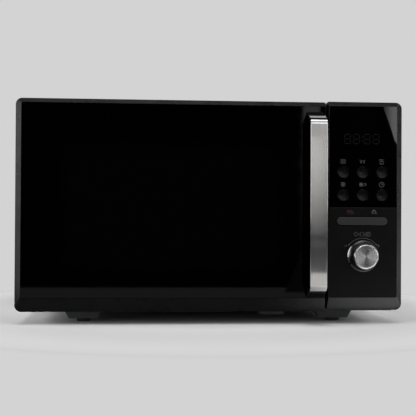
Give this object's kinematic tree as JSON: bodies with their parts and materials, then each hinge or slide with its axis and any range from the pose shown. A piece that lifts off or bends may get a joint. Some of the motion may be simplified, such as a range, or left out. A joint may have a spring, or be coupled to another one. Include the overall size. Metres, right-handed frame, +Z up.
{
  "type": "microwave oven",
  "caption": "Countertop convection microwave with left-hinged black glass door, bar handle, push buttons, turning knob and turntable",
  "frame": {"origin": "centre of the footprint, on the surface that the rubber feet stand on", "axes": "+Z up, the door and control panel face -Y, +X to the right as seen from the front"},
  "size_m": [0.487, 0.45, 0.282],
  "materials": {
    "black_paint": "satin black powder coat, fine orange peel",
    "plated_steel": "zinc-plated sheet with faint spangle",
    "rubber": "matt black rubber",
    "screw_steel": "bright zinc plating",
    "oven_enamel": "grey baked epoxy paint with fine speckle",
    "mica": "matt mica sheet",
    "white_plastic": "natural moulded plastic",
    "heater_steel": "heat-darkened stainless sheath",
    "motor_steel": "dull motor steel",
    "clear_glass": "clear tempered glass",
    "core_steel": "varnished steel laminations",
    "copper": "varnished copper wire",
    "aluminium": "drawn aluminium can",
    "circuit_board": "green solder mask",
    "black_moulding": "semi-gloss black moulding",
    "gloss_lens": "high-gloss black lens",
    "matt_black": "fine-textured matt black",
    "grey_button": "satin dark grey",
    "gloss_button": "gloss black, dished",
    "chrome": "bright chrome plate",
    "spun_aluminium": "radially spun aluminium",
    "black_glass": "black-printed tempered glass with a tinted window",
    "clear_film": "clear protective sheet",
    "brushed_steel": "fine lengthwise brushing"
  },
  "bodies": {
    "cabinet": {"cabinet_wrap": "black_paint", "base_plate": "black_paint", "rubber_feet": "rubber", "rear_panel": "plated_steel", "convection_cover": "plated_steel", "cord_gland": "matt_black", "cabinet_screws": "screw_steel", "front_plate": "oven_enamel", "oven_cavity": "oven_enamel", "waveguide_cover": "mica", "waveguide": "plated_steel", "magnetron": "plated_steel", "oven_lamp": "white_plastic", "grill_element": "heater_steel", "convection_housing": "plated_steel", "convection_heater": "heater_steel", "convection_motor": "motor_steel", "turntable_motor": "motor_steel", "transformer_core": "core_steel", "transformer_windings": "copper", "capacitor": "aluminium", "cooling_fan_shroud": "white_plastic", "cooling_fan_motor": "motor_steel", "noise_filter": "circuit_board", "thermal_cutouts": "white_plastic", "latch_board": "white_plastic", "microswitches": "matt_black", "control_housing": "black_moulding", "display_lens": "gloss_lens", "lower_fascia": "matt_black", "display_module": "matt_black", "control_board": "circuit_board", "encoder_body": "plated_steel", "hinge_plates": "screw_steel"},
    "door": {"door_frame": "black_moulding", "door_glass": "black_glass", "door_pan": "oven_enamel", "choke_cover": "matt_black", "inner_window": "clear_film", "handle_bar": "brushed_steel", "handle_core": "matt_black"},
    "latch": {"door_latch": "white_plastic"},
    "knob": {"encoder_shaft": "screw_steel", "knob_skirt": "chrome", "knob_cap": "spun_aluminium"},
    "rocker": {"rocker_button": "grey_button"},
    "turntable": {"turntable_coupler": "white_plastic", "glass_tray": "clear_glass"},
    "roller_carrier": {"roller_ring": "white_plastic"},
    "cooling_fan": {"cooling_fan_blades": "white_plastic"},
    "oven_fan": {"convection_fan": "plated_steel"},
    "wheel_1": {"roller_1": "white_plastic"},
    "wheel_2": {"roller_2": "white_plastic"},
    "wheel_3": {"roller_3": "white_plastic"},
    "key_1": {"button_1": "gloss_button"},
    "key_2": {"button_2": "gloss_button"},
    "key_3": {"button_3": "gloss_button"},
    "key_4": {"button_4": "gloss_button"},
    "key_5": {"button_5": "gloss_button"},
    "key_6": {"button_6": "gloss_button"}
  },
  "joints": [
    {"name": "door_hinge", "type": "hinge", "parent": "cabinet", "child": "door", "pos_m": [-0.2355, -0.1695, 0.148], "axis": [0, 0, -1], "range_deg": [0, 95]},
    {"name": "latch_lift", "type": "slide", "parent": "door", "child": "latch", "axis": [0, 0, 1], "range_m": [0, 0.004], "stiffness_N_per_m": 400, "springref_m": -0.003},
    {"name": "knob_turn", "type": "hinge", "parent": "cabinet", "child": "knob", "pos_m": [0.192, -0.205, 0.0863], "axis": [0, -1, 0], "continuous": true},
    {"name": "rocker_tilt", "type": "hinge", "parent": "cabinet", "child": "rocker", "pos_m": [0.1912, -0.187, 0.1304], "axis": [0, 0, 1], "range_deg": [-1.2, 1.2], "stiffness_Nm_per_rad": 2},
    {"name": "turntable_spin", "type": "hinge", "parent": "cabinet", "child": "turntable", "pos_m": [-0.05, -0.004, 0.05], "axis": [0, 0, 1], "continuous": true},
    {"name": "roller_carrier_spin", "type": "hinge", "parent": "cabinet", "child": "roller_carrier", "pos_m": [-0.05, -0.004, 0.0483], "axis": [0, 0, 1], "continuous": true},
    {"name": "cooling_fan_spin", "type": "hinge", "parent": "cabinet", "child": "cooling_fan", "pos_m": [0.182, 0.186, 0.158], "axis": [0, 1, 0], "continuous": true},
    {"name": "oven_fan_spin", "type": "hinge", "parent": "cabinet", "child": "oven_fan", "pos_m": [-0.05, 0.16, 0.148], "axis": [0, 1, 0], "continuous": true},
    {"name": "wheel_1_spin", "type": "hinge", "parent": "roller_carrier", "child": "wheel_1", "pos_m": [-0.05, 0.099, 0.0483], "axis": [0, 1, 0], "continuous": true},
    {"name": "wheel_2_spin", "type": "hinge", "parent": "roller_carrier", "child": "wheel_2", "pos_m": [-0.1392, -0.0555, 0.0483], "axis": [-0.866, -0.5, 0], "continuous": true},
    {"name": "wheel_3_spin", "type": "hinge", "parent": "roller_carrier", "child": "wheel_3", "pos_m": [0.0392, -0.0555, 0.0483], "axis": [0.866, -0.5, 0], "continuous": true},
    {"name": "key_1_press", "type": "slide", "parent": "cabinet", "child": "key_1", "axis": [0, 1, 0], "range_m": [0, 0.0008], "stiffness_N_per_m": 2000},
    {"name": "key_2_press", "type": "slide", "parent": "cabinet", "child": "key_2", "axis": [0, 1, 0], "range_m": [0, 0.0008], "stiffness_N_per_m": 2000},
    {"name": "key_3_press", "type": "slide", "parent": "cabinet", "child": "key_3", "axis": [0, 1, 0], "range_m": [0, 0.0008], "stiffness_N_per_m": 2000},
    {"name": "key_4_press", "type": "slide", "parent": "cabinet", "child": "key_4", "axis": [0, 1, 0], "range_m": [0, 0.0008], "stiffness_N_per_m": 2000},
    {"name": "key_5_press", "type": "slide", "parent": "cabinet", "child": "key_5", "axis": [0, 1, 0], "range_m": [0, 0.0008], "stiffness_N_per_m": 2000},
    {"name": "key_6_press", "type": "slide", "parent": "cabinet", "child": "key_6", "axis": [0, 1, 0], "range_m": [0, 0.0008], "stiffness_N_per_m": 2000}
  ],
  "couplings": [
    {"joint": "roller_carrier_spin", "follows": "turntable_spin", "ratio": 0.5},
    {"joint": "wheel_1_spin", "follows": "turntable_spin", "ratio": -6.4375},
    {"joint": "wheel_2_spin", "follows": "turntable_spin", "ratio": -6.4375},
    {"joint": "wheel_3_spin", "follows": "turntable_spin", "ratio": -6.4375}
  ]
}
